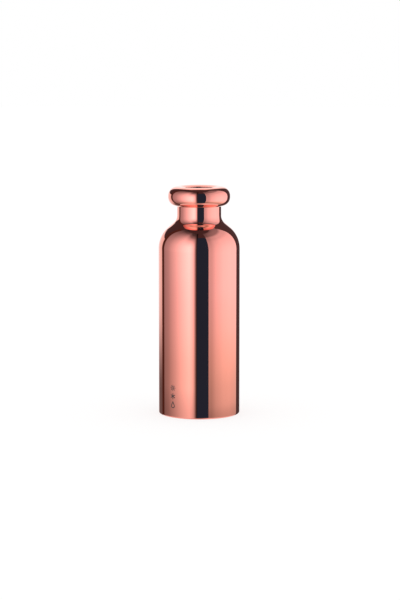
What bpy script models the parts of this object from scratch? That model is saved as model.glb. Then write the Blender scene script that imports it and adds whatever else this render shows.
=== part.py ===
"""Vacuum bottle with a mirror copper finish and a ring-shaped screw closure.

Every piece is its own object in the collection "vacuum_bottle". The bottle stands on Z = 0 with its axis
on the Z axis. Lengths are given in millimetres and turned into metres by MM where a mesh is made.
"""

import math

import bmesh
import bpy

MM = 0.001

# ---- driving dimensions, in millimetres ----

# Outer form
BODY_RADIUS = 36.8
FOOT_RADIUS = 1.6
FOOT_INNER = 29.0
SHOULDER_START = 150.8
SHOULDER_RADIUS = 25.4
SHOULDER_SWEEP = math.radians(51)
NECK_RADIUS = 19.95
NECK_FILLET = 9.0
MOUTH_HEIGHT = 191.0

# Metal and the vacuum space
STEEL = 0.5
VACUUM_GAP = 2.9
LINER_FLOOR = 15.0
LINER_CORNER = 8.0
FOIL = 0.2

# Neck, thread and seat
LINER_NECK = 17.2
LIP_RADIUS = 18.9
LIP_CHAMFER = 0.4
SEAT_TOP = 177.6
SEAT_RADIUS = 15.6
SEAT_HEIGHT = 175.9
THREAD_LEAD = 8.0
THREAD_STARTS = 2
THREAD_TURNS = 0.85
THREAD_BOTTOM = 179.9
RIDGE_HEIGHT = 1.0
RIDGE_ROOT = 1.1
RIDGE_CREST = 0.6
RIDGE_BURIED = 0.35

# Bottom plate with its sealed hole, getter, and base cover
BOTTOM_HEIGHT = 8.0
BOTTOM_EDGE = 1.0
BOTTOM_DIMPLE = 6.0
DIMPLE_SLOPE = 1.5
DIMPLE_RISE = 1.8
HOLE_RADIUS = 0.7
BEAD_MARGIN = 2.4
BEAD_SIDE = 0.5
BEAD_RUN = 1.4
GETTER_PLACE = 18.0
GETTER_RADIUS = 4.0
GETTER_HEIGHT = 2.6
GETTER_PROUD = 0.6
HOLDER_SHEET = 0.4
TAB_SPAN = 4.0
TAB_WIDTH = 3.0
TAB_SHARE = 0.75
COVER_HEIGHT = 1.5
COVER_RIM = 4.2
COVER_STEP = 0.7
COVER_CORNER = 1.2
COVER_BEAD = 4.0
COVER_SLOPE = 1.0

# Ring closure: the ring's section is a superellipse, a little squarer than an ellipse
RING_CENTRE = 18.75
RING_HEIGHT = 198.1
RING_HALF_WIDTH = 9.35
RING_HALF_HEIGHT = 8.95
RING_SQUARENESS = 2.2
RING_SHELL = 0.8
RECESS_RADIUS = 13.0
RECESS_EDGE = 0.7
RECESS_FLOOR = 201.0
SKIRT_RADIUS = 20.3
CUP_WALL = 0.9
CUP_RIM = 204.9
CUP_FLOOR = 0.9
POCKET_INNER = 16.3
POCKET_OUTER = 20.0
POCKET_TOP = 192.7
FLANGE_FOOT = 191.5
FLANGE_TOP = 194.6
FLANGE_LOW_RADIUS = 23.0
FLANGE_HIGH_RADIUS = 24.6
HUB_RADIUS = 17.3
CARRIER_TOP = 200.7

# Stopper
STOPPER_RADIUS = 15.2
STOPPER_WALL = 1.8
STOPPER_FOOT = 178.4
STOPPER_TOP = 199.0
STOPPER_LID = 2.0
FLOOR_BOTTOM = 175.2
FLOOR_RADIUS = 14.2
FLOOR_PLATE = 1.2
FLOOR_CHAMFER = 0.4
SPIGOT_WALL = 1.2
SPIGOT_RISE = 3.0
CORE_RADIUS = 11.5
SEAL_HEIGHT = 1.4
SEAL_CHAMFER = 0.4
SEAL_LIP = 0.5

# Clearance left between pieces that touch
GAP = 0.3

# Facets: round the axis, on the outer form and on the small inner pieces, and along round profiles
OUTER_STEPS = 40
INNER_STEPS = 24
ARC_STEPS = 6
CORNER_STEPS = 5
RING_STEPS = 16


# ---- scene and materials ----

def clear_scene():
    """Remove every object, so that only the bottle is left."""
    for item in list(bpy.data.objects):
        bpy.data.objects.remove(item, do_unlink=True)


def new_collection(name):
    """A collection linked to the scene."""
    group = bpy.data.collections.new(name)
    bpy.context.scene.collection.children.link(group)
    return group


def finish(name, colour, roughness, metallic):
    """A plain Principled material."""
    material = bpy.data.materials.new(name)
    material.use_nodes = True
    shader = material.node_tree.nodes["Principled BSDF"]
    shader.inputs["Base Color"].default_value = (*colour, 1.0)
    shader.inputs["Roughness"].default_value = roughness
    shader.inputs["Metallic"].default_value = metallic
    material.diffuse_color = (*colour, 1.0)
    return material


def add_object(name, mesh, group, material=None, parent=None):
    """Link a mesh as an object, with its own material and an optional parent."""
    item = bpy.data.objects.new(name, mesh)
    group.objects.link(item)
    if material is not None:
        mesh.materials.append(finish(name, *material))
    if parent is not None:
        item.parent = parent
    return item


# ---- profiles, in millimetres, as (radius, height) from top to bottom down the outer side ----

def arc(centre, radius, start, stop, steps=ARC_STEPS):
    """Points on a round stretch of a profile, both ends included; angles from +radius towards +height."""
    points = []
    for index in range(steps + 1):
        angle = start + (stop - start) * index / steps
        points.append((centre[0] + radius * math.cos(angle), centre[1] + radius * math.sin(angle)))
    return points


def shoulder_profile(inset):
    """Points up the shoulder arc, moved inwards by inset, and the direction of the cone above it."""
    centre = (BODY_RADIUS - SHOULDER_RADIUS, SHOULDER_START)
    rise = arc(centre, SHOULDER_RADIUS - inset, 0.0, SHOULDER_SWEEP)
    return rise, (-math.sin(SHOULDER_SWEEP), math.cos(SHOULDER_SWEEP))


def outer_profile():
    """The visible outline of body, shoulder and neck, from the mouth down to the inside of the foot."""
    rise, slope = shoulder_profile(0.0)
    cone_foot = rise[-1]
    fillet_foot = NECK_RADIUS + NECK_FILLET * (1.0 - math.cos(SHOULDER_SWEEP))
    length = (cone_foot[0] - fillet_foot) / -slope[0]
    fillet_height = cone_foot[1] + length * slope[1] + NECK_FILLET * math.sin(SHOULDER_SWEEP)
    fillet_centre = (NECK_RADIUS + NECK_FILLET, fillet_height)
    fillet = arc(fillet_centre, NECK_FILLET, math.pi, math.pi + SHOULDER_SWEEP)
    foot = arc((BODY_RADIUS - FOOT_RADIUS, FOOT_RADIUS), FOOT_RADIUS, 0.0, -math.pi / 2, CORNER_STEPS)
    return [(NECK_RADIUS, MOUTH_HEIGHT)] + fillet + rise[::-1] + foot + [(FOOT_INNER, 0.0)]


def liner_profile():
    """The liner's outer side: rolled lip, neck, seal seat, shoulder, wall, corner and domed floor."""
    inset = STEEL + VACUUM_GAP
    rise, slope = shoulder_profile(inset)
    liner_radius = BODY_RADIUS - inset
    flange = MOUTH_HEIGHT - STEEL
    neck = [(LIP_RADIUS, flange), (LINER_NECK + LIP_CHAMFER, flange), (LINER_NECK, flange - LIP_CHAMFER)]
    seat = [(LINER_NECK, SEAT_TOP), (SEAT_RADIUS, SEAT_HEIGHT)]
    cone_top = rise[-1][1] + (rise[-1][0] - SEAT_RADIUS) / -slope[0] * slope[1]
    corner_centre = (liner_radius - LINER_CORNER, LINER_FLOOR + LINER_CORNER)
    corner = arc(corner_centre, LINER_CORNER, 0.0, -math.pi / 2, CORNER_STEPS)
    return neck + seat + [(SEAT_RADIUS, cone_top)] + rise[::-1] + corner + [(0.0, LINER_FLOOR)]


def ring_turn(radius):
    """The parameter at which the ring's upper or lower half passes a radius."""
    share = (radius - RING_CENTRE) / RING_HALF_WIDTH
    return math.acos(math.copysign(abs(share) ** (RING_SQUARENESS / 2), share))


def ring_point(turn):
    """A point of the superellipse |x / a| ** n + |y / b| ** n = 1 at a parameter in radians."""
    power = 2 / RING_SQUARENESS
    across = math.copysign(abs(math.cos(turn)) ** power, math.cos(turn))
    up = math.copysign(abs(math.sin(turn)) ** power, math.sin(turn))
    return (RING_CENTRE + RING_HALF_WIDTH * across, RING_HEIGHT + RING_HALF_HEIGHT * up)


def ring_profile():
    """The ring's visible outline: up the recess wall, over the crest, round the outside and under to the
    skirt by the neck."""
    inner, skirt = ring_turn(RECESS_RADIUS + RECESS_EDGE), -ring_turn(SKIRT_RADIUS)
    bead = [ring_point(inner + (skirt - inner) * index / RING_STEPS) for index in range(RING_STEPS + 1)]
    return [(RECESS_RADIUS, RECESS_FLOOR), (RECESS_RADIUS, bead[0][1] - RECESS_EDGE)] + bead


# ---- turned pieces ----

def profile_mesh(name, points, closed):
    """A mesh of edges that holds a profile in the XZ plane."""
    mesh = bpy.data.meshes.new(name)
    vertices = [(radius * MM, 0.0, height * MM) for radius, height in points]
    edges = [(index, index + 1) for index in range(len(points) - 1)]
    if closed:
        edges.append((len(points) - 1, 0))
    mesh.from_pydata(vertices, edges, [])
    return mesh


def turn(item, steps):
    """Spin an object's profile once round the Z axis."""
    screw = item.modifiers.new("Turned", 'SCREW')
    screw.axis = 'Z'
    screw.steps = steps
    screw.render_steps = steps
    screw.use_merge_vertices = True
    screw.merge_threshold = 0.00001
    screw.use_smooth_shade = True


def turned_solid(name, points, group, material, parent=None, steps=OUTER_STEPS, ring=False):
    """A solid turned from a profile. A ring's profile is a closed loop clear of the axis."""
    item = add_object(name, profile_mesh(name, points, ring), group, material, parent)
    turn(item, steps)
    return item


def turned_shell(name, points, wall, group, material, parent=None, steps=OUTER_STEPS):
    """A sheet turned from an open profile and thickened inwards to its wall."""
    item = turned_solid(name, points, group, material, parent, steps)
    solidify = item.modifiers.new("Wall", 'SOLIDIFY')
    solidify.thickness = wall * MM
    solidify.offset = -1.0
    solidify.use_even_offset = True
    return item


def block_ring(inner, outer, low, high):
    """A rectangular section between two radii and two heights, as a closed loop."""
    return [(inner, high), (outer, high), (outer, low), (inner, low)]


def block_disc(outer, low, high):
    """The half section of a plain disc, from the axis to the axis."""
    return [(0.0, high), (outer, high), (outer, low), (0.0, low)]


# ---- screw thread ----

def helical_ridge(name, group, root, height, bottom, start_angle):
    """One thread ridge: a trapezium carried up the helix. A negative height makes an internal thread."""
    buried = root - math.copysign(RIDGE_BURIED, height)
    foot = RIDGE_ROOT + (RIDGE_ROOT - RIDGE_CREST) * RIDGE_BURIED / abs(height)
    crest = root + height
    outline = [(buried, -foot), (crest, -RIDGE_CREST), (crest, RIDGE_CREST), (buried, foot)]
    body = bmesh.new()
    corners = [body.verts.new((radius * MM, 0.0, (bottom + offset) * MM)) for radius, offset in outline]
    section = body.faces.new(corners)
    steps = round(OUTER_STEPS * THREAD_TURNS)
    rise = THREAD_LEAD * THREAD_TURNS / steps * MM
    bmesh.ops.spin(body, geom=[section], cent=(0.0, 0.0, 0.0), axis=(0.0, 0.0, 1.0),
                   dvec=(0.0, 0.0, rise), angle=math.tau * THREAD_TURNS, steps=steps, use_merge=False)
    bmesh.ops.recalc_face_normals(body, faces=body.faces[:])
    mesh = bpy.data.meshes.new(name)
    body.to_mesh(mesh)
    body.free()
    ridge = add_object(name, mesh, group)
    ridge.rotation_euler.z = start_angle
    ridge.hide_render = True
    ridge.display_type = 'WIRE'
    return ridge


def join_ridges(item, name, group, root, height, bottom):
    """Add every start of a thread to an object with Boolean unions. The ridges' facets are set half a step
    off the wall's, so that no edges of the two coincide."""
    half_step = math.pi / OUTER_STEPS
    for start in range(THREAD_STARTS):
        angle = math.tau * start / THREAD_STARTS + half_step
        ridge = helical_ridge(f"{name}_{start + 1}", group, root, height, bottom, angle)
        ridge.parent = item.parent
        union = item.modifiers.new(f"Thread {start + 1}", 'BOOLEAN')
        union.operation = 'UNION'
        union.solver = 'EXACT'
        union.object = ridge


# ---- the bottle ----

def make_outer_shell(parts):
    """Body, shoulder, neck and foot in one drawn sheet with the copper finish."""
    return turned_shell("outer_shell", outer_profile(), STEEL, parts, ((0.95, 0.34, 0.265), 0.05, 1.0))


def make_inner_vessel(parts, cutters):
    """The liner that holds the drink, with its internal thread."""
    liner = turned_shell("inner_vessel", liner_profile(), STEEL, parts, ((0.66, 0.65, 0.63), 0.28, 1.0))
    pitch = THREAD_LEAD / THREAD_STARTS
    join_ridges(liner, "neck_ridge", cutters, LINER_NECK - STEEL, -RIDGE_HEIGHT, THREAD_BOTTOM + pitch / 2)
    return liner


def make_reflector_foil(parts):
    """Thin sleeve of foil round the straight part of the liner."""
    inner = BODY_RADIUS - STEEL - VACUUM_GAP + GAP
    section = block_ring(inner, inner + FOIL, LINER_FLOOR + LINER_CORNER, SHOULDER_START)
    return turned_solid("reflector_foil", section, parts, ((0.83, 0.47, 0.36), 0.3, 1.0), ring=True)


def make_outer_bottom(parts):
    """Pressed plate with a turned-down rim and, in the middle, a raised dimple with the evacuation hole."""
    rim = BODY_RADIUS - STEEL - GAP
    outline = [
        (HOLE_RADIUS, BOTTOM_HEIGHT + DIMPLE_RISE),
        (BOTTOM_DIMPLE - DIMPLE_SLOPE, BOTTOM_HEIGHT + DIMPLE_RISE),
        (BOTTOM_DIMPLE, BOTTOM_HEIGHT),
        (rim - BOTTOM_EDGE, BOTTOM_HEIGHT),
        (rim, BOTTOM_HEIGHT - BOTTOM_EDGE),
        (rim, FOOT_RADIUS + GAP),
    ]
    return turned_shell("outer_bottom", outline, STEEL, parts, ((0.62, 0.61, 0.59), 0.35, 1.0))


def make_seal_glass(parts):
    """Bead of solder glass melted into the dimple, under the evacuation hole."""
    top = BOTTOM_HEIGHT + DIMPLE_RISE - STEEL - GAP
    radius = BOTTOM_DIMPLE - BEAD_MARGIN
    outline = [(0.0, top), (radius, top), (radius, top - BEAD_SIDE), (radius - BEAD_RUN, top - BEAD_RUN),
               (0.0, top - BEAD_RUN)]
    return turned_solid("seal_glass", outline, parts, ((0.12, 0.13, 0.12), 0.15, 0.0), steps=INNER_STEPS)


def getter_seat(parts):
    """An empty on the bottom plate, to which the getter and its holder are fixed."""
    seat = bpy.data.objects.new("getter_seat", None)
    parts.objects.link(seat)
    seat.location = (0.0, GETTER_PLACE * MM, (BOTTOM_HEIGHT + GAP) * MM)
    return seat


def make_getter_holder(parts, cutters, seat):
    """Shallow cup with two welding tabs."""
    radius = GETTER_RADIUS + GAP + HOLDER_SHEET
    inside = GETTER_RADIUS + GAP
    outline = [
        (inside, GETTER_HEIGHT),
        (radius, GETTER_HEIGHT),
        (radius, 0.0),
        (0.0, 0.0),
    ]
    inner_side = [(0.0, HOLDER_SHEET), (inside, HOLDER_SHEET)]
    colour = ((0.6, 0.6, 0.58), 0.4, 1.0)
    holder = turned_solid("getter_holder", inner_side + outline, parts, colour, seat, INNER_STEPS)
    tabs = bmesh.new()
    bmesh.ops.create_cube(tabs, size=1.0)
    size = (TAB_SPAN * radius * MM, TAB_WIDTH * MM, HOLDER_SHEET * TAB_SHARE * MM)
    bmesh.ops.scale(tabs, vec=size, verts=tabs.verts[:])
    bmesh.ops.translate(tabs, vec=(0.0, 0.0, size[2] / 2), verts=tabs.verts[:])
    mesh = bpy.data.meshes.new("getter_tabs")
    tabs.to_mesh(mesh)
    tabs.free()
    guide = add_object("getter_tabs", mesh, cutters, parent=seat)
    guide.hide_render = True
    guide.display_type = 'WIRE'
    union = holder.modifiers.new("Tabs", 'BOOLEAN')
    union.operation = 'UNION'
    union.object = guide
    return holder


def make_getter_pill(parts, seat):
    """Pressed tablet of getter metal, standing in its cup."""
    low = HOLDER_SHEET + GAP
    outline = block_disc(GETTER_RADIUS, low, GETTER_HEIGHT + GETTER_PROUD)
    return turned_solid("getter_pill", outline, parts, ((0.2, 0.2, 0.21), 0.8, 0.3), seat, INNER_STEPS)


def make_base_cover(parts):
    """Dished cover plate inside the foot, clear of what the bottle stands on."""
    radius = FOOT_INNER - GAP
    low = COVER_HEIGHT - COVER_STEP
    outline = [(radius, COVER_RIM), (radius, COVER_HEIGHT), (radius - COVER_CORNER, low),
               (radius - COVER_BEAD, low), (radius - COVER_BEAD - COVER_SLOPE, COVER_HEIGHT),
               (0.0, COVER_HEIGHT)]
    return turned_shell("base_cover", outline, STEEL, parts, ((0.62, 0.61, 0.59), 0.3, 1.0))


# ---- the closure, which turns and rises on the bottle's axis ----

def make_cap_ring(parts, pivot):
    """Rounded ring with the copper finish, open below and in the middle."""
    copper = ((0.95, 0.34, 0.265), 0.05, 1.0)
    return turned_shell("cap_ring", ring_profile(), RING_SHELL, parts, copper, pivot)


def make_cap_carrier(parts, pivot):
    """Plastic body inside the ring: a hub over the stopper and a flange with the mouth seal's groove."""
    bore = STOPPER_RADIUS + GAP
    outline = [
        (0.0, CARRIER_TOP), (HUB_RADIUS, CARRIER_TOP), (HUB_RADIUS, FLANGE_TOP),
        (FLANGE_HIGH_RADIUS, FLANGE_TOP), (FLANGE_LOW_RADIUS, FLANGE_FOOT), (POCKET_OUTER, FLANGE_FOOT), (POCKET_OUTER, POCKET_TOP),
        (POCKET_INNER, POCKET_TOP), (POCKET_INNER, FLANGE_FOOT), (bore, FLANGE_FOOT),
        (bore, STOPPER_TOP + GAP), (0.0, STOPPER_TOP + GAP),
    ]
    return turned_solid("cap_carrier", outline, parts, ((0.03, 0.027, 0.026), 0.5, 0.0), pivot)


def make_mouth_seal(parts, pivot):
    """Flat silicone ring over the lip."""
    section = block_ring(POCKET_INNER + GAP, POCKET_OUTER - GAP, MOUTH_HEIGHT + GAP, POCKET_TOP - GAP)
    return turned_solid("mouth_seal", section, parts, ((0.75, 0.73, 0.7), 0.6, 0.0), pivot, ring=True)


def make_cap_disc(parts, pivot):
    """Dark cup that lines the recess in the middle of the ring."""
    radius = RECESS_RADIUS - GAP
    floor = RECESS_FLOOR + CUP_FLOOR
    outline = [(0.0, floor), (radius - 2 * CUP_WALL, floor), (radius - CUP_WALL, floor + CUP_WALL),
               (radius - CUP_WALL, CUP_RIM), (radius, CUP_RIM), (radius, RECESS_FLOOR), (0.0, RECESS_FLOOR)]
    return turned_solid("cap_disc", outline, parts, ((0.02, 0.017, 0.016), 0.35, 0.0), pivot)


def make_stopper_body(parts, cutters, pivot):
    """Threaded stopper: a tube closed at its top."""
    inner = STOPPER_RADIUS - STOPPER_WALL
    outline = [(0.0, STOPPER_TOP), (STOPPER_RADIUS, STOPPER_TOP), (STOPPER_RADIUS, STOPPER_FOOT),
               (inner, STOPPER_FOOT), (inner, STOPPER_TOP - STOPPER_LID), (0.0, STOPPER_TOP - STOPPER_LID)]
    stopper = turned_solid("stopper_body", outline, parts, ((0.035, 0.032, 0.03), 0.45, 0.0), pivot)
    join_ridges(stopper, "stopper_ridge", cutters, STOPPER_RADIUS, RIDGE_HEIGHT, THREAD_BOTTOM)
    return stopper


def make_stopper_floor(parts, pivot):
    """Bottom of the stopper: a flange under the seal and a spigot up into the stopper's tube."""
    spigot = STOPPER_RADIUS - STOPPER_WALL - GAP
    deck = FLOOR_BOTTOM + FLOOR_PLATE
    high = STOPPER_FOOT + SPIGOT_RISE
    outline = [(0.0, deck), (spigot - SPIGOT_WALL, deck), (spigot - SPIGOT_WALL, high), (spigot, high),
               (spigot, deck), (FLOOR_RADIUS, deck), (FLOOR_RADIUS, FLOOR_BOTTOM + FLOOR_CHAMFER),
               (FLOOR_RADIUS - FLOOR_CHAMFER, FLOOR_BOTTOM), (0.0, FLOOR_BOTTOM)]
    return turned_solid("stopper_floor", outline, parts, ((0.04, 0.037, 0.035), 0.45, 0.0), pivot)


def make_stopper_seal(parts, pivot):
    """Silicone ring round the stopper's foot, which closes on the seat in the neck."""
    low = FLOOR_BOTTOM + FLOOR_PLATE + GAP
    inner = STOPPER_RADIUS - STOPPER_WALL
    outer, high = STOPPER_RADIUS, low + SEAL_HEIGHT
    outline = [(inner, high), (outer - SEAL_CHAMFER, high), (outer, high - SEAL_CHAMFER),
               (outer, low + SEAL_LIP), (outer - SEAL_LIP, low), (inner, low)]
    return turned_solid("stopper_seal", outline, parts, ((0.75, 0.73, 0.7), 0.6, 0.0), pivot, ring=True)


def make_insulation_core(parts, pivot):
    """Foam plug that fills the stopper."""
    low = FLOOR_BOTTOM + FLOOR_PLATE + GAP
    high = STOPPER_TOP - STOPPER_LID - GAP
    outline = block_disc(CORE_RADIUS, low, high)
    return turned_solid("insulation_core", outline, parts, ((0.85, 0.8, 0.66), 0.9, 0.0), pivot, INNER_STEPS)


def main():
    """Build the bottle and its closure."""
    clear_scene()
    parts = new_collection("vacuum_bottle")
    cutters = new_collection("cutters")
    make_outer_shell(parts)
    make_inner_vessel(parts, cutters)
    make_reflector_foil(parts)
    make_outer_bottom(parts)
    make_seal_glass(parts)
    seat = getter_seat(parts)
    make_getter_holder(parts, cutters, seat)
    make_getter_pill(parts, seat)
    make_base_cover(parts)
    pivot = bpy.data.objects.new("closure_axis", None)
    parts.objects.link(pivot)
    make_cap_ring(parts, pivot)
    make_cap_carrier(parts, pivot)
    make_mouth_seal(parts, pivot)
    make_cap_disc(parts, pivot)
    make_stopper_body(parts, cutters, pivot)
    make_stopper_floor(parts, pivot)
    make_stopper_seal(parts, pivot)
    make_insulation_core(parts, pivot)


main()
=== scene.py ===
"""Looks of a round-shouldered vacuum bottle with a mirror copper finish and a ring-shaped screw closure.

The solids come packed with their bodies and joints. This script wraps them in fine turned surfaces, gives
every piece its finish, and stands the bottle in a plain studio. Lengths of the pieces are in millimetres, and
those of the studio and of the finishes in metres.
"""
import logging
import math
from dataclasses import dataclass, field
from enum import Enum
from typing import Callable, Optional, Sequence, Union

import bpy
import numpy as np
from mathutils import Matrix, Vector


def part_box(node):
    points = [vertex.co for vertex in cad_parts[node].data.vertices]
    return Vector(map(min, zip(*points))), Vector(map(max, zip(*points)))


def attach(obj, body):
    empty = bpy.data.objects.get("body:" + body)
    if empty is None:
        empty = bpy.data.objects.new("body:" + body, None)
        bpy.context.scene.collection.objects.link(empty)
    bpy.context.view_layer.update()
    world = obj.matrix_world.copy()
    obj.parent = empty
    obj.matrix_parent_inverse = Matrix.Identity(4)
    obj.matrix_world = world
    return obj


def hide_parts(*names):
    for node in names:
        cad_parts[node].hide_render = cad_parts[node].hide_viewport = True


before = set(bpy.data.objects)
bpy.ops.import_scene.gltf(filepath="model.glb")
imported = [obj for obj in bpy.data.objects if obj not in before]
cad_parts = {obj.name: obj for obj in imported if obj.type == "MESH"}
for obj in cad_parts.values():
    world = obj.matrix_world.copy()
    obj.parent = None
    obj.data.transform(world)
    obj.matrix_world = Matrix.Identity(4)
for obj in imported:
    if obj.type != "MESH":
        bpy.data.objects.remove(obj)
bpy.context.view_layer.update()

MM = 0.001
AROUND = 256
AROUND_LINER = 220
AROUND_SMALL = 144
AROUND_FOAM = 96
AROUND_TINY = 64
log = logging.getLogger("bottle")

Colour = tuple[float, float, float]
Outline = Sequence[tuple[float, float]]
Number = Union["Socket", float]
Tint = Union["Socket", Colour]
Relief = Callable[[np.ndarray, np.ndarray, np.ndarray], np.ndarray]

WHITE: Colour = (1.0, 1.0, 1.0)


# ---------------------------------------------------------------- shader expressions

class Socket:
    """A node's output that can stand in a Python expression of numbers."""

    def __init__(self, graph: "Graph", output: bpy.types.NodeSocket) -> None:
        """Keep the output and the graph that it belongs to."""
        self.graph = graph
        self.output = output

    def _math(self, operation: str, *values: Number) -> "Socket":
        """Add one Math node that works on the values in order."""
        return self.graph.node("ShaderNodeMath", {"operation": operation}, dict(enumerate(values)))

    def __add__(self, other: Number) -> "Socket":
        """Sum."""
        return self._math("ADD", self, other)

    __radd__ = __add__

    def __sub__(self, other: Number) -> "Socket":
        """Difference."""
        return self._math("SUBTRACT", self, other)

    def __rsub__(self, other: float) -> "Socket":
        """Difference with the number first."""
        return self._math("SUBTRACT", other, self)

    def __mul__(self, other: Number) -> "Socket":
        """Product."""
        return self._math("MULTIPLY", self, other)

    __rmul__ = __mul__

    def __truediv__(self, other: Number) -> "Socket":
        """Quotient."""
        return self._math("DIVIDE", self, other)

    def __neg__(self) -> "Socket":
        """Opposite."""
        return self._math("MULTIPLY", self, -1.0)

    def __abs__(self) -> "Socket":
        """Absolute value."""
        return self._math("ABSOLUTE", self)

    def root(self) -> "Socket":
        """Square root."""
        return self._math("SQRT", self)

    def sin(self) -> "Socket":
        """Sine of an angle in radians."""
        return self._math("SINE", self)

    def angle_from(self, across: "Socket") -> "Socket":
        """Angle in radians whose tangent is this value over the other."""
        return self._math("ARCTAN2", self, across)

    def above(self, limit: float) -> "Socket":
        """This value, and no less than the limit."""
        return self._math("MAXIMUM", self, limit)

    def step(self, low: float, high: float) -> "Socket":
        """Smooth step from 0 at low to 1 at high.

        Args:
            low: value at which the step begins; it may be the larger of the two.
            high: value at which it ends.

        Returns:
            The step, between 0 and 1.
        """
        inputs = {"Value": self, "From Min": low, "From Max": high}
        return self.graph.node("ShaderNodeMapRange", {"interpolation_type": 'SMOOTHSTEP'}, inputs)


class Graph:
    """A node tree that is filled by expressions."""

    def __init__(self, tree: bpy.types.NodeTree) -> None:
        """Empty the tree."""
        self.tree = tree
        tree.nodes.clear()

    def node(self, kind: str, settings: Optional[dict] = None, inputs: Optional[dict] = None,
             output: Union[int, str] = 0) -> Socket:
        """Add one node.

        Args:
            kind: the node's type name.
            settings: its properties, set first; "stops" is a ramp's list of (place, colour).
            inputs: socket name or number to a Socket or a plain value.
            output: name or number of the output that is wanted.

        Returns:
            That output as a Socket.
        """
        made = self.tree.nodes.new(kind)
        for key, value in (settings or {}).items():
            if key == "stops":
                self._set_stops(made.color_ramp, value)
            else:
                setattr(made, key, value)
        for key, value in (inputs or {}).items():
            if isinstance(value, Socket):
                self.tree.links.new(value.output, made.inputs[key])
            else:
                made.inputs[key].default_value = value
        return Socket(self, made.outputs[output]) if made.outputs else Socket(self, None)

    @staticmethod
    def _set_stops(ramp: bpy.types.ColorRamp, stops: Outline) -> None:
        """Give a ramp its grey stops, as (place, value)."""
        while len(ramp.elements) < len(stops):
            ramp.elements.new(1.0)
        for element, (place, value) in zip(ramp.elements, stops):
            element.position = place
            element.color = (value, value, value, 1.0)

    def place(self) -> Socket:
        """Object coordinates, in metres."""
        return self.node("ShaderNodeTexCoord", output="Object")

    def parts_of(self, vector: Socket) -> tuple[Socket, Socket, Socket]:
        """The three numbers of a vector."""
        split = self.node("ShaderNodeSeparateXYZ", inputs={0: vector}).output.node
        return tuple(Socket(self, output) for output in split.outputs)

    def stretched(self, vector: Socket, scale: tuple[float, float, float]) -> Socket:
        """A vector scaled along each axis, so that a pattern on it is drawn out."""
        return self.node("ShaderNodeMapping", inputs={"Vector": vector, "Scale": scale})

    def noise(self, vector: Socket, scale: float, detail: float = 3.0, roughness: float = 0.5) -> Socket:
        """Fractal noise, about 0 to 1."""
        inputs = {"Vector": vector, "Scale": scale, "Detail": detail, "Roughness": roughness}
        return self.node("ShaderNodeTexNoise", inputs=inputs)

    def cells(self, vector: Socket, scale: float) -> Socket:
        """Distance to the nearest point of a random scatter."""
        return self.node("ShaderNodeTexVoronoi", inputs={"Vector": vector, "Scale": scale})

    def mix(self, factor: Number, first: Tint, second: Tint) -> Socket:
        """Mix two colours."""
        inputs = {0: factor}
        for number, colour in ((6, first), (7, second)):
            inputs[number] = colour if isinstance(colour, Socket) else (*colour, 1.0)
        return self.node("ShaderNodeMix", {"data_type": 'RGBA'}, inputs, output=2)

    def surface(self, colour: Tint, roughness: Number, height: Socket, depth: float) -> dict:
        """The sockets of a surface: colour, roughness, and a normal from a height in units of depth."""
        bump = self.node("ShaderNodeBump", inputs={"Height": height, "Distance": depth, "Strength": 1.0},
                         output="Normal")
        return {"Base Color": colour, "Roughness": roughness, "Normal": bump}

    def outline(self, value: Socket, stops: Outline) -> Socket:
        """A value read off an outline of (place, value) pairs with straight lines between them.

        Args:
            value: where to read.
            stops: the outline, from the lowest place to the highest.

        Returns:
            The value there.
        """
        first, last = stops[0][0], stops[-1][0]
        most = max(level for _, level in stops)
        share = [((place - first) / (last - first), level / most) for place, level in stops]
        ramp = self.node("ShaderNodeValToRGB", {"stops": share}, {"Fac": (value - first) / (last - first)})
        return self.node("ShaderNodeRGBToBW", inputs={0: ramp}) * most

    def lamp(self, colour: Tint, strength: Number) -> None:
        """Finish the graph as a lamp of a colour and strength."""
        tint = colour if isinstance(colour, Socket) else (*colour, 1.0)
        glow = self.node("ShaderNodeEmission", inputs={"Color": tint, "Strength": strength})
        self.node("ShaderNodeOutputMaterial", inputs={"Surface": glow})

    def round_place(self) -> tuple[Socket, Socket, Socket]:
        """Round-the-axis coordinates: angle in radians from the front, radius and height in metres."""
        x, y, z = self.parts_of(self.place())
        return x.angle_from(-y), (x * x + y * y).root(), z


def new_graph(name: str) -> tuple[Graph, bpy.types.Material]:
    """A new material and its empty graph."""
    material = bpy.data.materials.new(name)
    material.use_nodes = True
    return Graph(material.node_tree), material


# ---------------------------------------------------------------- finishes

@dataclass(frozen=True)
class Finish:
    """What a surface is made of. A finish is made once and shared by the pieces that wear it."""

    name: str = "finish"
    colour: Colour = (0.8, 0.8, 0.8)
    roughness: float = 0.5
    metallic: float = 0.0

    def varied(self, graph: Graph) -> dict:
        """What changes over the surface, by socket name."""
        return {}

    def uniform(self) -> dict:
        """What is the same all over and is set on the shader itself, by socket name."""
        return {}

    def material(self) -> bpy.types.Material:
        """The finish as a material, made at its first use.

        Returns:
            The material.
        """
        found = bpy.data.materials.get(self.name)
        if found is not None:
            return found
        graph, material = new_graph(self.name)
        sockets = {"Base Color": (*self.colour, 1.0), "Roughness": self.roughness, "Metallic": self.metallic}
        sockets |= self.uniform() | self.varied(graph)
        shader = graph.node("ShaderNodeBsdfPrincipled", inputs=sockets)
        graph.node("ShaderNodeOutputMaterial", inputs={"Surface": shader})
        material.diffuse_color = (*self.colour, 1.0)
        return material


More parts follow.
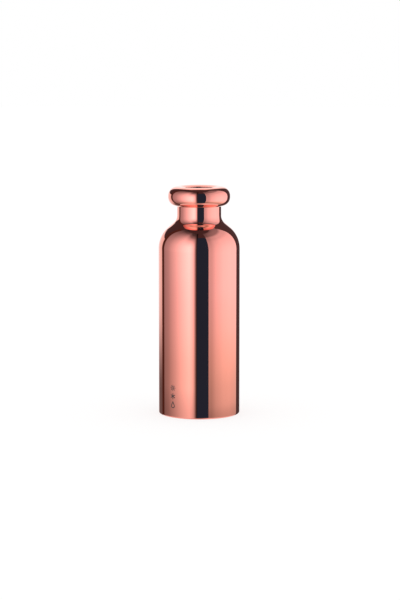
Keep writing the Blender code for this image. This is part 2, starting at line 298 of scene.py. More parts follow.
@dataclass(frozen=True)
class MirrorCopper(Finish):
    """Polished copper plate: a drifting tint, polishing lines round the axis, haze and hairline scratches."""

    name: str = "mirror_copper"
    colour: Colour = (0.95, 0.345, 0.27)
    warm: Colour = (0.955, 0.36, 0.285)
    roughness: float = 0.03
    metallic: float = 1.0
    haze: float = 0.025
    line_depth: float = 0.0000004

    def varied(self, graph: Graph) -> dict:
        """Tint drift, haze, and the height of the polishing lines."""
        place = graph.place()
        drift = graph.noise(place, 14.0, 2.0)
        lines = graph.noise(graph.stretched(place, (1.0, 1.0, 60.0)), 60.0, 4.0, 0.6)
        smudge = graph.noise(place, 45.0, 4.0, 0.6).step(0.52, 0.78)
        scratch_field = graph.noise(graph.stretched(place, (4.0, 1.5, 0.35)), 900.0, 1.0)
        scratch = abs(scratch_field - 0.5).step(0.012, 0.0)
        rough = self.roughness * (0.8 + 0.5 * lines) + self.haze * smudge + 0.05 * scratch
        return graph.surface(graph.mix(drift.step(0.35, 0.65), self.colour, self.warm), rough, lines,
                             self.line_depth)


@dataclass(frozen=True)
class RingCopper(MirrorCopper):
    """The ring's copper plate, painted paler on the underside as a painted reflection tint, so that the
    reflections there come out less saturated.
    """

    name: str = "ring_copper"
    # pale is a painted reflection tint for the underside, not a colour of the plate itself.
    pale: Colour = (0.93, 0.66, 0.58)
    pale_from: float = 0.1915
    pale_to: float = 0.1903

    def varied(self, graph: Graph) -> dict:
        """The mirror copper, with a paler colour painted below a height as a painted reflection tint."""
        sockets = super().varied(graph)
        _, _, height = graph.parts_of(graph.place())
        # painted reflection tint: the colour turns paler below the given height, on the ring's underside.
        painted_tint_mask = height.step(self.pale_from, self.pale_to)
        return sockets | {"Base Color": graph.mix(painted_tint_mask, sockets["Base Color"], self.pale)}


@dataclass(frozen=True)
class TurnedSteel(Finish):
    """Stainless steel with fine lines round the axis, as a spun or brushed wall has."""

    name: str = "turned_steel"
    colour: Colour = (0.66, 0.645, 0.625)
    roughness: float = 0.24
    metallic: float = 1.0
    grain: float = 0.000004

    def varied(self, graph: Graph) -> dict:
        """Brushed lines by height and radius, and a slow change of tone."""
        turn, radius, height = graph.round_place()
        along = graph.node("ShaderNodeCombineXYZ", inputs={0: turn * 0.004, 1: radius * 9.0, 2: height * 9.0})
        lines = graph.noise(along, 320.0, 5.0, 0.65)
        tone = graph.noise(graph.place(), 60.0, 3.0)
        light = tuple(min(1.0, channel * 1.09) for channel in self.colour)
        return graph.surface(graph.mix(tone.step(0.3, 0.7), self.colour, light),
                             self.roughness * (0.7 + 0.6 * lines), lines, self.grain)


@dataclass(frozen=True)
class PressedSteel(Finish):
    """Plain pressed sheet steel with the soft mottle of rolling."""

    name: str = "pressed_steel"
    colour: Colour = (0.6, 0.59, 0.57)
    roughness: float = 0.34
    metallic: float = 1.0
    grain: float = 0.000004

    def varied(self, graph: Graph) -> dict:
        """Rolled grain along one direction, and stains left by the furnace."""
        place = graph.place()
        lines = graph.noise(graph.stretched(place, (1.0, 14.0, 1.0)), 420.0, 4.0, 0.6)
        stain = graph.noise(place, 70.0, 4.0, 0.55).step(0.5, 0.75)
        dull = tuple(channel * 0.86 for channel in self.colour)
        return graph.surface(graph.mix(stain, self.colour, dull),
                             self.roughness * (0.75 + 0.5 * lines) + 0.1 * stain, lines, self.grain)


@dataclass(frozen=True)
class CopperFoil(Finish):
    """Thin crinkled foil wrapped round the liner."""

    name: str = "copper_foil"
    colour: Colour = (0.85, 0.46, 0.34)
    shade: Colour = (0.78, 0.4, 0.29)
    roughness: float = 0.22
    metallic: float = 1.0
    crinkle: float = 0.00025

    def varied(self, graph: Graph) -> dict:
        """Crinkles as creases between irregular facets."""
        place = graph.place()
        crease = graph.cells(place, 160.0)
        soft = graph.noise(place, 110.0, 3.0)
        return graph.surface(graph.mix(soft.step(0.35, 0.7), self.colour, self.shade),
                             self.roughness + 0.12 * soft, crease + 0.6 * soft, self.crinkle)


@dataclass(frozen=True)
class Moulding(Finish):
    """Dark moulded plastic with a fine spark-eroded texture and slight rub marks."""

    name: str = "dark_moulding"
    colour: Colour = (0.028, 0.024, 0.023)
    worn: Colour = (0.05, 0.044, 0.041)
    roughness: float = 0.42
    texture: float = 0.000012

    def varied(self, graph: Graph) -> dict:
        """Moulded pimples and rubbed patches."""
        place = graph.place()
        pimples = graph.noise(place, 2600.0, 2.0)
        rub = graph.noise(place, 150.0, 4.0, 0.6).step(0.5, 0.8)
        return graph.surface(graph.mix(rub, self.colour, self.worn),
                             self.roughness + 0.12 * (pimples - 0.5) - 0.08 * rub, pimples, self.texture)


@dataclass(frozen=True)
class Silicone(Finish):
    """Milky silicone rubber with a satin moulded skin."""

    name: str = "silicone"
    colour: Colour = (0.74, 0.72, 0.68)
    cloudy: Colour = (0.8, 0.785, 0.75)
    roughness: float = 0.48
    texture: float = 0.00001

    def uniform(self) -> dict:
        """Light that enters and leaves the rubber."""
        depth = (0.003, 0.002, 0.0015)
        return {"Subsurface Weight": 0.35, "Subsurface Radius": depth, "Subsurface Scale": 0.6}

    def varied(self, graph: Graph) -> dict:
        """Slight clouding and a fine skin."""
        place = graph.place()
        cloud = graph.noise(place, 240.0, 3.0)
        skin = graph.noise(place, 3000.0, 2.0)
        return graph.surface(graph.mix(cloud.step(0.3, 0.7), self.colour, self.cloudy),
                             self.roughness + 0.15 * (cloud - 0.5), skin, self.texture)


@dataclass(frozen=True)
class Foam(Finish):
    """Closed-cell foam."""

    name: str = "foam"
    colour: Colour = (0.82, 0.76, 0.6)
    painted_hollow_shade: Colour = (0.66, 0.6, 0.45)
    roughness: float = 0.85
    cell_depth: float = 0.00015

    def varied(self, graph: Graph) -> dict:
        """Cells of about half a millimetre, with painted shade where they sink in."""
        cell = graph.cells(graph.place(), 2000.0)
        # painted shade: the colour darkens in the hollows of the cells, where the height is lowest.
        return graph.surface(graph.mix(cell.step(0.1, 0.6), self.painted_hollow_shade, self.colour),
                             self.roughness + 0.1 * cell, cell, self.cell_depth)


@dataclass(frozen=True)
class SolderGlass(Finish):
    """Dark solder glass that has run and set, with small bubbles."""

    name: str = "solder_glass"
    colour: Colour = (0.07, 0.08, 0.075)
    streak: Colour = (0.13, 0.14, 0.12)
    roughness: float = 0.12
    relief: float = 0.00006

    def varied(self, graph: Graph) -> dict:
        """Flow streaks and bubbles."""
        place = graph.place()
        flow = graph.noise(place, 500.0, 3.0)
        bubble = graph.cells(place, 1500.0).step(0.25, 0.1)
        return graph.surface(graph.mix(flow.step(0.4, 0.7), self.colour, self.streak),
                             self.roughness + 0.2 * bubble, flow - 0.5 * bubble, self.relief)


@dataclass(frozen=True)
class GetterMetal(Finish):
    """Pressed grey metal powder."""

    name: str = "getter_metal"
    colour: Colour = (0.17, 0.17, 0.18)
    dark: Colour = (0.1, 0.1, 0.11)
    light: Colour = (0.27, 0.27, 0.28)
    roughness: float = 0.7
    metallic: float = 0.6
    grain: float = 0.00005

    def varied(self, graph: Graph) -> dict:
        """Grains of the powder."""
        powder = graph.noise(graph.place(), 3500.0, 3.0, 0.7)
        return graph.surface(graph.mix(powder.step(0.35, 0.65), self.dark, self.light),
                             self.roughness + 0.2 * (powder - 0.5), powder, self.grain)


@dataclass(frozen=True)
class EtchedMark(Finish):
    """Laser-darkened metal: a matt, slightly uneven grey."""

    name: str = "etched_mark"
    colour: Colour = (0.055, 0.038, 0.036)
    light: Colour = (0.085, 0.06, 0.056)
    roughness: float = 0.55
    metallic: float = 0.4
    grain: float = 0.000003

    def varied(self, graph: Graph) -> dict:
        """The laser's fine rows."""
        _, _, height = graph.parts_of(graph.place())
        rows = (height * 60000.0).sin() * 0.5 + 0.5
        mottle = graph.noise(graph.place(), 1800.0, 3.0)
        return graph.surface(graph.mix(mottle.step(0.3, 0.7), self.colour, self.light),
                             self.roughness + 0.1 * rows, rows, self.grain)


# ---------------------------------------------------------------- outlines and turned surfaces

@dataclass(frozen=True)
class Corner:
    """A corner of a turned piece's outline.

    radius and height place it, round is its fillet, and grain, if given, is the even spacing of the points on
    the straight stretch that follows it.
    """

    radius: float
    height: float
    round: float = 0.0
    grain: float = 0.0


def straight(first: np.ndarray, last: np.ndarray, grain: float = 0.0) -> np.ndarray:
    """Points on a straight stretch, without its last point.

    They are gathered at both ends by a cosine, p = a + (b - a)(1 - cos t) / 2, so that shading settles close
    to a corner, or evenly spaced where a grain is given.

    Args:
        first: start, as radius and height.
        last: end.
        grain: even spacing, or 0 for the cosine.

    Returns:
        The points, one row each.
    """
    length = float(np.linalg.norm(last - first))
    if grain > 0.0:
        share = np.linspace(0.0, 1.0, max(2, math.ceil(length / grain)) + 1)[:-1]
    else:
        count = min(40, max(3, math.ceil(length / 1.5)))
        share = (1.0 - np.cos(np.linspace(0.0, math.pi, count + 1)[:-1])) / 2.0
    return first + share[:, None] * (last - first)


def bow(centre: tuple[float, float], radius: float, start: float, stop: float, step: float) -> np.ndarray:
    """Points on an arc, p = centre + radius (cos t, sin t), both ends included.

    Args:
        centre: radius and height of the arc's centre.
        radius: the arc's own radius.
        start: first angle in radians, from outwards towards up.
        stop: last angle.
        step: largest step in degrees.

    Returns:
        The points, one row each.
    """
    count = max(4, math.ceil(abs(math.degrees(stop - start)) / step))
    angle = np.linspace(start, stop, count + 1)
    return np.stack([centre[0] + radius * np.cos(angle), centre[1] + radius * np.sin(angle)], axis=1)


def rounded(corners: Sequence[Corner], closed: bool) -> np.ndarray:
    """An outline of straight stretches with a fillet arc at each corner.

    A fillet of radius f in a corner that turns by a leaves the straight lines f tan(a / 2) before the corner.

    Args:
        corners: the corners in order, up the outer side and back down the inner side.
        closed: True for a ring clear of the axis, False for an outline that begins and ends on the axis.

    Returns:
        The outline's points, one row each.
    """
    places = [np.array([corner.radius, corner.height]) for corner in corners]
    count = len(places)
    arcs = []
    for index, (corner, place) in enumerate(zip(corners, places)):
        if corner.round == 0.0 or (not closed and index in (0, count - 1)):
            arcs.append(place[None, :])
            continue
        back = places[index - 1] - place
        ahead = places[(index + 1) % count] - place
        back, ahead = back / np.linalg.norm(back), ahead / np.linalg.norm(ahead)
        turn = math.pi - math.acos(float(np.clip(back @ ahead, -1.0, 1.0)))
        if turn < 0.01:
            arcs.append(place[None, :])
            continue
        middle = (back + ahead) / np.linalg.norm(back + ahead)
        centre = place + middle * corner.round / math.cos(turn / 2.0)
        start = place + back * corner.round * math.tan(turn / 2.0) - centre
        side = 1.0 if back[0] * ahead[1] - back[1] * ahead[0] < 0.0 else -1.0
        first = math.atan2(start[1], start[0])
        arcs.append(bow((centre[0], centre[1]), corner.round, first, first + side * turn, 5.0))
    pieces = []
    for index in range(count if closed else count - 1):
        following = arcs[(index + 1) % count]
        pieces += [arcs[index][:-1], straight(arcs[index][-1], following[0], corners[index].grain)]
    if not closed:
        pieces.append(arcs[-1])
    return np.concatenate([piece for piece in pieces if len(piece)])


def block(inner: float, outer: float, low: float, high: float, edge: float) -> np.ndarray:
    """Outline of a plain ring or, with inner 0, of a plain disc, with rounded edges."""
    outside = [Corner(outer, low, edge), Corner(outer, high, edge)]
    if inner > 0.0:
        return rounded([Corner(inner, low, edge), *outside, Corner(inner, high, edge)], closed=True)
    return rounded([Corner(0.0, low), *outside, Corner(0.0, high)], closed=False)


def turned_mesh(name: str, outline: np.ndarray, around: int, relief: Optional[Relief],
                centre: tuple[float, float, float]) -> bpy.types.Mesh:
    """A surface of revolution: (r cos u, r sin u, h) for each point (r, h) of the outline and each angle u.

    Args:
        name: the mesh's name.
        outline: points up the outer side; ends on the axis become poles, other outlines close on themselves.
        around: number of columns.
        relief: what is added to the radius, worked out from angle, radius and height.
        centre: where the axis stands, in millimetres.

    Returns:
        The mesh, in metres, with its faces outwards.
    """
    poles = outline[0, 0] < 1e-9 and outline[-1, 0] < 1e-9
    ring = outline[1:-1] if poles else outline
    angle = np.linspace(0.0, math.tau, around, endpoint=False)[:, None]
    radius = np.broadcast_to(ring[None, :, 0], (around, len(ring)))
    height = np.broadcast_to(ring[None, :, 1], (around, len(ring)))
    if relief is not None:
        radius = radius + relief(np.broadcast_to(angle, radius.shape), radius, height)
    points = np.stack([radius * np.cos(angle), radius * np.sin(angle), height], axis=2).reshape(-1, 3)
    rows = len(ring)
    index = np.arange(around * rows).reshape(around, rows)
    beside = np.roll(index, -1, axis=0)
    if poles:
        quads = np.stack([index[:, :-1], beside[:, :-1], beside[:, 1:], index[:, 1:]], axis=2).reshape(-1, 4)
        low, high = around * rows, around * rows + 1
        ends = [[0.0, 0.0, outline[0, 1]], [0.0, 0.0, outline[-1, 1]]]
        points = np.concatenate([points, ends])
        fans = np.concatenate([
            np.stack([np.full(around, low), beside[:, 0], index[:, 0]], axis=1),
            np.stack([np.full(around, high), index[:, -1], beside[:, -1]], axis=1),
        ])
        faces = quads.tolist() + fans.tolist()
    else:
        above, beside_above = np.roll(index, -1, axis=1), np.roll(beside, -1, axis=1)
        faces = np.stack([index, beside, beside_above, above], axis=2).reshape(-1, 4).tolist()
    mesh = bpy.data.meshes.new(name)
    mesh.from_pydata((points + np.array(centre)) * MM, [], faces)
    mesh.shade_smooth()
    return mesh


@dataclass(frozen=True)
class Thread:
    """A right-hand thread of several starts, as a relief on a turned wall.

    A ridge's middle climbs by the lead in each turn. Its height over the wall is a trapezium of the distance
    from that middle, and it fades in and out over a short angle at its two ends.
    """

    lead: float = 8.0
    starts: int = 2
    turns: float = 0.85
    bottom: float = 179.9
    height: float = 1.0
    root: float = 1.1
    crest: float = 0.6
    fade: float = 0.35

    def relief(self, angle: np.ndarray, height: np.ndarray) -> np.ndarray:
        """Height of the ridges over the wall.

        Args:
            angle: angles round the axis, in radians.
            height: heights on the wall.

        Returns:
            The ridge height, between 0 and the thread's own height.
        """
        result = np.zeros_like(height)
        sweep = math.tau * self.turns
        for start in range(self.starts):
            for wrap in range(2):
                behind = angle - math.tau * start / self.starts
                along = np.mod(behind, math.tau) + math.tau * wrap
                middle = self.bottom + self.lead * along / math.tau
                flank = (self.root - np.abs(height - middle)) / (self.root - self.crest)
                ends = np.minimum(along, sweep - along) / self.fade
                ridge = np.clip(flank, 0.0, 1.0) * np.clip(ends, 0.0, 1.0)
                smooth = ridge * ridge * (3.0 - 2.0 * ridge)
                result = np.maximum(result, 0.5 * (ridge + smooth))
        return self.height * result


# ---------------------------------------------------------------- pieces

class Body(Enum):
    """The rigid bodies that a piece can ride on."""

    BOTTLE = "bottle"
    LIFT = "closure_lift"
    CLOSURE = "closure"


@dataclass
class Piece:
    """One finished piece: its mesh, its finish, the body it rides on and the solid that it stands for."""

    name: str
    mesh: bpy.types.Mesh
    finish: Finish
    body: Body
    slot: str
    node: Optional[str] = None

    def place(self) -> bpy.types.Object:
        """Put the piece in the scene and tie it to its body.

        Returns:
            The piece's object.
        """
        item = bpy.data.objects.new(self.name, self.mesh)
        bpy.context.scene.collection.objects.link(item)
        self.mesh.materials.append(self.finish.material())
        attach(item, self.body.value)
        if self.node is not None:
            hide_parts(self.node)
        log.info("%s: %d faces, %s, rides on %s", self.name, len(self.mesh.polygons), self.finish.name,
                 self.body.value)
        return item


def extent(node: str) -> tuple[float, float, float]:
    """Outer radius, foot and top of a solid on the bottle's axis, in millimetres."""
    low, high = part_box(node)
    return high.x / MM, low.z / MM, high.z / MM


def turned(node: str, outline: np.ndarray, finish: Finish, body: Body, slot: str, around: int = AROUND,
           relief: Optional[Relief] = None, centre: tuple[float, float, float] = (0.0, 0.0, 0.0)) -> Piece:
    """A turned piece that stands for a solid and is named after it.

    Args:
        node: the solid that it replaces.
        outline: what is turned, as turned_mesh takes it.
        finish: what it is made of.
        body: the body that it rides on.
        slot: the record's material slot, kept on the piece; not used.
        around: number of columns.
        relief: what is added to the radius.
        centre: where the axis stands.

    Returns:
        The piece.
    """
    name = f"{node}_skin"
    return Piece(name, turned_mesh(name, outline, around, relief, centre), finish, body, slot, node)


@dataclass
class OuterForm:
    """The shape that the outer shell and the liner share: wall, shoulder and cone."""

    radius: float = field(default_factory=lambda: extent("outer_shell")[0])
    mouth: float = field(default_factory=lambda: extent("outer_shell")[2])
    shoulder_start: float = 150.8
    shoulder_round: float = 25.4
    sweep: float = math.radians(51.0)
    neck: float = 19.95
    neck_round: float = 9.0
    steel: float = 0.5

    def shoulder_corner(self, inset: float) -> Corner:
        """Where wall and cone would meet, for a surface that lies inset within the outer one."""
        rise = math.tan(self.sweep / 2.0)
        height = self.shoulder_start + (self.shoulder_round - inset) * rise
        return Corner(self.radius - inset, height, self.shoulder_round - inset)

    def cone_height(self, inset: float, radius: float) -> float:
        """Height of the cone at a radius, for a surface that lies inset within the outer one."""
        corner = self.shoulder_corner(inset)
        return corner.height + (corner.radius - radius) / math.tan(self.sweep)

    def neck_corner(self, inset: float) -> Corner:
        """Where cone and neck would meet."""
        radius = self.neck - inset
        return Corner(radius, self.cone_height(inset, radius), self.neck_round + inset)


@dataclass
class Shell:
    """The outer shell: mirror copper outside, from the foot to the lip."""

    form: OuterForm
    foot_round: float = 1.6
    foot_inner: float = 29.0

    def outline(self) -> np.ndarray:
        """Outer side from the foot up to the mouth, and the inner side back down."""
        form, steel = self.form, self.form.steel
        return rounded([
            Corner(self.foot_inner, 0.0, 0.12),
            Corner(form.radius, 0.0, self.foot_round),
            form.shoulder_corner(0.0),
            form.neck_corner(0.0),
            Corner(form.neck, form.mouth, 0.2),
            Corner(form.neck - steel, form.mouth, 0.2),
            form.neck_corner(steel),
            form.shoulder_corner(steel),
            Corner(form.radius - steel, steel, self.foot_round - steel),
            Corner(self.foot_inner, steel, 0.12),
        ], closed=True)

    def build(self) -> list[Piece]:
        """The shell as one piece."""
        return [turned("outer_shell", self.outline(), MirrorCopper(), Body.BOTTLE, "copper_mirror")]


@dataclass
class Liner:
    """The steel liner with its rolled lip, internal thread and seal seat."""

    form: OuterForm
    thread: Thread
    gap: float = 2.9
    floor: float = 15.0
    corner: float = 8.0
    neck: float = 17.2
    lip: float = 18.9
    seat_top: float = 177.6
    seat: float = 15.6
    seat_height: float = 175.9
    grain: float = 0.14

    def outline(self) -> np.ndarray:
        """From the middle of the floor up the outer side, over the lip and back down the inside."""
        form, steel = self.form, self.form.steel
        outer, inner = steel + self.gap, 2.0 * steel + self.gap
        bore = self.neck - steel
        return rounded([
            Corner(0.0, self.floor),
            Corner(form.radius - outer, self.floor, self.corner),
            form.shoulder_corner(outer),
            Corner(self.seat, form.cone_height(outer, self.seat), 0.2),
            Corner(self.seat, self.seat_height, 0.2),
            Corner(self.neck, self.seat_top, 0.5),
            Corner(self.neck, form.mouth - steel, 0.4),
            Corner(self.lip, form.mouth - steel, 0.1),
            Corner(self.lip, form.mouth, 0.25),
            Corner(bore, form.mouth, 0.6, grain=self.grain),
            Corner(bore, self.seat_top + 0.2, 0.5),
            Corner(self.seat - steel, self.seat_height + 0.2, 0.3),
            Corner(self.seat - steel, form.cone_height(inner, self.seat - steel), 0.3),
            form.shoulder_corner(inner),
            Corner(form.radius - inner, self.floor + steel, self.corner - steel),
            Corner(0.0, self.floor + steel),
        ], closed=False)

    def relief(self, angle: np.ndarray, radius: np.ndarray, height: np.ndarray) -> np.ndarray:
        """Thread ridges that stand inwards from the neck's bore."""
        bore = self.neck - self.form.steel
        on_bore = (np.abs(radius - bore) < 0.02) & (height > self.seat_top)
        return -np.where(on_bore, self.thread.relief(angle, height), 0.0)

    def build(self) -> list[Piece]:
        """The liner as one piece."""
        return [turned("inner_vessel", self.outline(), TurnedSteel(), Body.BOTTLE, "liner_steel",
                       AROUND_LINER, self.relief)]


@dataclass
class VacuumSpace:
    """What closes and keeps the vacuum: bottom plate, solder bead, getter and foil, with the cover below.

    slope is the run of the dimple's side, fold what a bend takes up on its inner side, and bend the bevel
    between the plate and its rim.
    """

    form: OuterForm
    plate: float = 8.0
    dimple: float = 6.0
    rise: float = 1.8
    slope: float = 1.5
    fold: float = 0.4
    bend: float = 1.0
    hole: float = 0.7
    cover: float = 28.7
    cover_height: float = 1.5
    cover_rim: float = 4.2
    foil: float = 0.2

    def plate_outline(self) -> np.ndarray:
        """Pressed plate with a turned-down rim and a raised dimple round the evacuation hole."""
        steel, bend = self.form.steel, self.bend
        rim, low, _ = extent("outer_bottom")
        top = self.plate + self.rise
        return rounded([
            Corner(self.hole, top - steel, 0.1),
            Corner(self.dimple - self.slope - self.fold, top - steel, 0.4),
            Corner(self.dimple - self.fold, self.plate - steel, 0.9),
            Corner(rim - bend - 0.2, self.plate - steel, 0.4),
            Corner(rim - steel, self.plate - bend - 0.3, 0.4),
            Corner(rim - steel, low, 0.12),
            Corner(rim, low, 0.12),
            Corner(rim, self.plate - bend, 0.7),
            Corner(rim - bend, self.plate, 0.7),
            Corner(self.dimple, self.plate, 0.5),
            Corner(self.dimple - self.slope, top, 0.7),
            Corner(self.hole, top, 0.1),
        ], closed=True)

    def cover_outline(self) -> np.ndarray:
        """Dished cover with an upturned rim and a pressed step."""
        steel, radius, base = self.form.steel, self.cover, self.cover_height
        return rounded([
            Corner(0.0, base),
            Corner(radius - 5.0, base, 1.0),
            Corner(radius - 4.0, base - 0.7, 0.6),
            Corner(radius - 1.2, base - 0.7, 0.8),
            Corner(radius, base, 0.7),
            Corner(radius, self.cover_rim, 0.15),
            Corner(radius - steel, self.cover_rim, 0.15),
            Corner(radius - steel, base + 0.3, 0.4),
            Corner(radius - 1.4, base - 0.1, 0.4),
            Corner(radius - 3.8, base - 0.1, 0.6),
            Corner(radius - 4.8, base + steel, 1.0),
            Corner(0.0, base + steel),
        ], closed=False)

    def bead_outline(self) -> np.ndarray:
        """Half section of the solder bead: flat on top, round where it has run."""
        radius, low, top = extent("seal_glass")
        return rounded([
            Corner(0.0, low),
            Corner(radius - 1.4, low + 0.2, 1.4),
            Corner(radius, top - 0.5, 0.4),
            Corner(radius, top, 0.1),
            Corner(0.0, top),
        ], closed=False)

    def build(self) -> list[Piece]:
        """Plate, cover, bead, tablet and foil, and the finish of the getter's holder."""
        low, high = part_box("getter_pill")
        middle, half = (low + high) / 2.0 / MM, (high.x - low.x) / 2.0 / MM
        tablet = block(0.0, half, low.z / MM, high.z / MM, 0.3)
        sleeve, foot, top = extent("reflector_foil")
        foil = block(sleeve - self.foil, sleeve, foot, top, self.foil / 5.0)
        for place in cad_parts["getter_holder"].material_slots:
            place.material = PressedSteel().material()
            log.info("getter_holder: the solid itself, in %s", place.material.name)
        cover_steel = TurnedSteel("turned_cover", roughness=0.28)
        bottle = Body.BOTTLE
        return [
            turned("outer_bottom", self.plate_outline(), PressedSteel(), bottle, "plate_steel", AROUND_SMALL),
            turned("base_cover", self.cover_outline(), cover_steel, bottle, "plate_steel"),
            turned("seal_glass", self.bead_outline(), SolderGlass(), bottle, "solder_glass", AROUND_TINY),
            turned("getter_pill", tablet, GetterMetal(), bottle, "getter_metal", AROUND_TINY,
                   centre=(middle.x, middle.y, 0.0)),
            turned("reflector_foil", foil, CopperFoil(), bottle, "foil_copper", AROUND_SMALL),
        ]


@dataclass
class RingClosure:
    """The part of the closure that a hand turns: ring, dark cup, carrier and mouth seal.

    The ring's section is a superellipse, |x / a| ^ n + |y / b| ^ n = 1, a little squarer than an ellipse.
    """

    centre: float = 18.75
    height: float = 198.1
    squareness: float = 2.2
    wall: float = 0.8
    recess: float = 13.0
    edge: float = 0.7
    floor: float = 201.0
    skirt: float = 20.3
    flange_foot: float = 191.5
    flange_top: float = 194.6
    flange_reach: float = 24.6
    flange_slope: float = 1.6
    hub: float = 17.3
    bore: float = 15.5
    bore_top: float = 199.3
    pocket_inner: float = 16.3
    pocket_outer: float = 20.0
    pocket_top: float = 192.7
    cup_wall: float = 0.9
    seal_gap: float = 0.3

    def section(self, inset: float, low: float, high: float, steps: int = 150) -> np.ndarray:
        """Part of the ring's section, moved inwards by inset along its radius and height.

        A point is (c + a sign(cos t) |cos t| ^ (2 / n), h + b sign(sin t) |sin t| ^ (2 / n)).

        Args:
            inset: how much less the half width and the half height are.
            low: radius at which it begins, on the lower half.
            high: radius at which it ends, on the upper half.
            steps: number of steps.

        Returns:
            The points, from below round the outer side and over the crest.
        """
        reach, _, top = extent("cap_ring")
        half_width = reach - self.centre - inset
        half_height = top - self.height - inset
        ends = np.array([low, high]) - self.centre
        share = np.clip(ends / half_width, -1.0, 1.0)
        turn = np.arccos(np.sign(share) * np.abs(share) ** (self.squareness / 2.0))
        t = np.linspace(-turn[0], turn[1], steps + 1)
        power = 2.0 / self.squareness
        across = np.sign(np.cos(t)) * np.abs(np.cos(t)) ** power
        up = np.sign(np.sin(t)) * np.abs(np.sin(t)) ** power
        return np.stack([self.centre + half_width * across, self.height + half_height * up], axis=1)

    def ring_outline(self) -> np.ndarray:
        """Bead from the skirt over the crest, a small edge, and the recess wall; then the inner side."""
        outer = self.section(0.0, self.skirt, self.recess + self.edge)
        inner = self.section(self.wall, self.skirt, self.recess + self.wall + 0.2, 60)
        rim = outer[-1, 1] - self.edge
        wall_top, wall_foot = np.array([self.recess, rim]), np.array([self.recess, self.floor])
        back_foot = wall_foot + np.array([self.wall, 0.0])
        back_top = np.array([self.recess + self.wall, inner[-1, 1] - 0.2])
        return np.concatenate([
            outer[:-1],
            bow((self.recess + self.edge, rim), self.edge, math.pi / 2.0, math.pi, 6.0)[:-1],
            straight(wall_top, wall_foot),
            straight(wall_foot, back_foot, 0.3),
            straight(back_foot, back_top),
            back_top[None, :],
            inner[::-1],
        ])

    def cup_outline(self) -> np.ndarray:
        """Cup that lines the recess: its wall, a rounded corner, and a faintly dished floor."""
        radius, low, high = extent("cap_disc")
        inside, floor = radius - self.cup_wall, low + self.cup_wall
        return rounded([
            Corner(0.0, low),
            Corner(radius, low, 0.15),
            Corner(radius, high, 0.3),
            Corner(inside, high, 0.3),
            Corner(inside, floor, 1.2),
            Corner(0.0, floor - 0.2),
        ], closed=False)

    def carrier_outline(self) -> np.ndarray:
        """Hub over the stopper, flange, and the groove for the mouth seal."""
        _, _, top = extent("cap_carrier")
        return rounded([
            Corner(0.0, self.bore_top),
            Corner(self.bore, self.bore_top, 0.3),
            Corner(self.bore, self.flange_foot, 0.15),
            Corner(self.pocket_inner, self.flange_foot, 0.15),
            Corner(self.pocket_inner, self.pocket_top, 0.15),
            Corner(self.pocket_outer, self.pocket_top, 0.15),
            Corner(self.pocket_outer, self.flange_foot, 0.15),
            Corner(self.flange_reach - self.flange_slope, self.flange_foot, 0.4),
            Corner(self.flange_reach, self.flange_top, 0.3),
            Corner(self.hub, self.flange_top, 0.6),
            Corner(self.hub, top, 0.3),
            Corner(0.0, top),
        ], closed=False)

    def build(self) -> list[Piece]:
        """Ring, cup, carrier and mouth seal."""
        reach, foot, top = extent("mouth_seal")
        seal = block(self.pocket_inner + self.seal_gap, reach, foot, top, 0.25)
        cup = Moulding("disc_moulding", (0.016, 0.012, 0.011), 0.3, worn=(0.03, 0.024, 0.022))
        closure = Body.CLOSURE
        return [
            turned("cap_ring", self.ring_outline(), RingCopper(), closure, "copper_mirror"),
            turned("cap_disc", self.cup_outline(), cup, closure, "disc_plastic", AROUND_SMALL),
            turned("cap_carrier", self.carrier_outline(), Moulding(), closure, "dark_plastic", AROUND_SMALL),
            turned("mouth_seal", seal, Silicone(), closure, "silicone", AROUND_SMALL),
        ]


@dataclass
class Stopper:
    """The threaded stopper with its floor, its seal and the foam inside."""

    thread: Thread
    radius: float = 15.2
    wall: float = 1.8
    foot: float = 178.4
    top: float = 199.0
    lid: float = 2.0
    floor_radius: float = 14.2
    floor_plate: float = 1.2
    spigot_gap: float = 0.3
    threaded: float = 13.0
    grain: float = 0.14

    def body_outline(self) -> np.ndarray:
        """Tube closed at its top, up the outer side and back down the inner one."""
        inner = self.radius - self.wall
        return rounded([
            Corner(0.0, self.top - self.lid),
            Corner(inner, self.top - self.lid, 0.8),
            Corner(inner, self.foot, 0.2),
            Corner(self.radius, self.foot, 0.25, grain=self.grain),
            Corner(self.radius, self.foot + self.threaded),
            Corner(self.radius, self.top, 0.3),
            Corner(0.0, self.top),
        ], closed=False)

    def relief(self, angle: np.ndarray, radius: np.ndarray, height: np.ndarray) -> np.ndarray:
        """Thread ridges that stand out from the stopper's side."""
        on_side = np.abs(radius - self.radius) < 0.02
        return np.where(on_side, self.thread.relief(angle, height), 0.0)

    def floor_outline(self) -> np.ndarray:
        """Flange under the seal with a spigot up into the tube."""
        _, low, high = extent("stopper_floor")
        deck, spigot = low + self.floor_plate, self.radius - self.wall - self.spigot_gap
        return rounded([
            Corner(0.0, low),
            Corner(self.floor_radius, low, 0.6),
            Corner(self.floor_radius, deck, 0.2),
            Corner(spigot, deck, 0.15),
            Corner(spigot, high, 0.2),
            Corner(spigot - self.floor_plate, high, 0.2),
            Corner(spigot - self.floor_plate, deck, 0.3),
            Corner(0.0, deck),
        ], closed=False)

    def seal_outline(self) -> np.ndarray:
        """Ring with a sloped lower lip."""
        outer, low, high = extent("stopper_seal")
        inner = self.radius - self.wall
        return rounded([
            Corner(inner, low, 0.15),
            Corner(outer - 0.5, low, 0.25),
            Corner(outer, low + 0.5, 0.25),
            Corner(outer, high - 0.4, 0.25),
            Corner(outer - 0.3, high, 0.2),
            Corner(inner, high, 0.15),
        ], closed=True)

    def build(self) -> list[Piece]:
        """Body, floor, seal and foam."""
        foam = block(0.0, *extent("insulation_core"), 0.5)
        closure = Body.CLOSURE
        return [
            turned("stopper_body", self.body_outline(), Moulding(), closure, "dark_plastic",
                   relief=self.relief),
            turned("stopper_floor", self.floor_outline(), Moulding(), closure, "dark_plastic", AROUND_SMALL),
            turned("stopper_seal", self.seal_outline(), Silicone(), closure, "silicone", AROUND_SMALL),
            turned("insulation_core", foam, Foam(), Body.LIFT, "foam", AROUND_FOAM),
        ]


